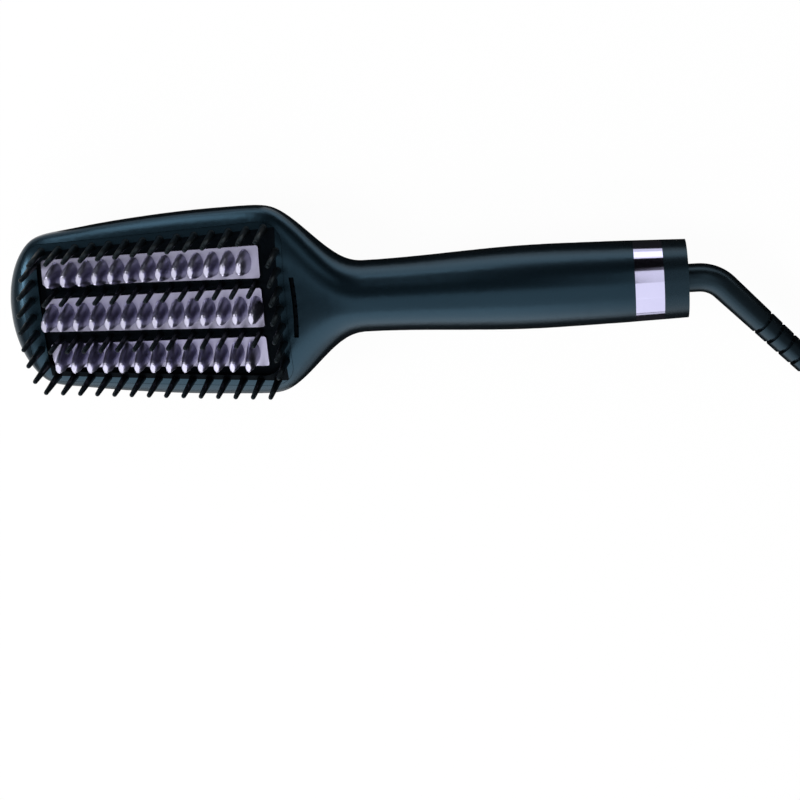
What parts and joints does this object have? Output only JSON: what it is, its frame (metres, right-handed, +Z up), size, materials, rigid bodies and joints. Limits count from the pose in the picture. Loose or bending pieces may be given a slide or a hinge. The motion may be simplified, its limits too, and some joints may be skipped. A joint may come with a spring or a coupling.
{
  "type": "heated styling brush",
  "caption": "Paddle-shaped heated styling brush with rows of metal teeth on heated plates, guard bristles all round, press buttons on the handle's back and a swivelling mains cord.",
  "frame": {"origin": "on the rest surface under the middle of the brush, measured without the cord", "axes": "+X from the nose of the head to the cord end of the handle, +Y across the head, +Z up from the rest surface towards the bristle tips"},
  "size_m": [0.4369, 0.1085, 0.0539],
  "materials": {
    "housing": "soft-touch satin, dark blue-green black",
    "frame": "fine satin black nylon",
    "bristles": "satin black nylon",
    "plates": "lilac metallic coating",
    "ceramic": "pale ceramic, fired",
    "pads": "pale silicone, matte",
    "tray": "heat-proof moulding, matte",
    "steel": "zinc plated",
    "sensor": "coated bead",
    "fuse": "drawn case",
    "module": "potted resin",
    "board": "coated board",
    "components": "moulded",
    "lens": "smoked clear",
    "buttons": "satin",
    "ring": "lilac tinted plating",
    "end_cap": "satin black",
    "swivel": "acetal, satin",
    "brass": "turned",
    "rubber": "matte black",
    "cord": "matte black sheath",
    "tie": "matte strap",
    "plug": "satin black",
    "pins": "nickel plated"
  },
  "bodies": {
    "brush": {"front_shell": "housing", "rear_shell": "housing", "bristle_frame": "frame", "guard_bristles": "bristles", "bar_bristles": "bristles", "lower_plate": "plates", "middle_plate": "plates", "upper_plate": "plates", "ceramic_heaters": "ceramic", "heater_pads": "pads", "heater_tray": "tray", "tray_screws": "steel", "temperature_sensor": "sensor", "thermal_fuse": "fuse", "ion_duct": "frame", "ion_generator": "module", "control_board": "board", "board_screws": "steel", "board_parts": "components", "push_switches": "components", "indicator_lens": "lens", "housing_screws": "steel", "trim_ring": "ring", "end_cap": "end_cap", "swivel_retainer": "swivel", "contact_pins": "brass"},
    "minus_button": {"minus_button": "buttons"},
    "power_button": {"power_button": "buttons"},
    "plus_button": {"plus_button": "buttons"},
    "cord_swivel": {"swivel_hub": "swivel", "slip_rings": "brass", "strain_relief": "rubber", "cord_lead": "cord", "cord_coil": "cord", "cord_tail": "cord", "coil_tie": "tie", "plug_body": "plug", "plug_pins": "pins"}
  },
  "joints": [
    {"name": "minus_press", "type": "slide", "parent": "brush", "child": "minus_button", "axis": [0.0523, 0, 0.9986], "range_m": [0, 0.0006], "stiffness_N_per_m": 1500, "springref_m": -0.0005},
    {"name": "power_press", "type": "slide", "parent": "brush", "child": "power_button", "axis": [0.0523, 0, 0.9986], "range_m": [0, 0.0006], "stiffness_N_per_m": 1500, "springref_m": -0.0005},
    {"name": "plus_press", "type": "slide", "parent": "brush", "child": "plus_button", "axis": [0.0523, 0, 0.9986], "range_m": [0, 0.0006], "stiffness_N_per_m": 1500, "springref_m": -0.0005},
    {"name": "cord_swivel_turn", "type": "hinge", "parent": "brush", "child": "cord_swivel", "pos_m": [0.12183, 0, 0.01606], "axis": [0.9986, 0, -0.0523], "continuous": true}
  ]
}
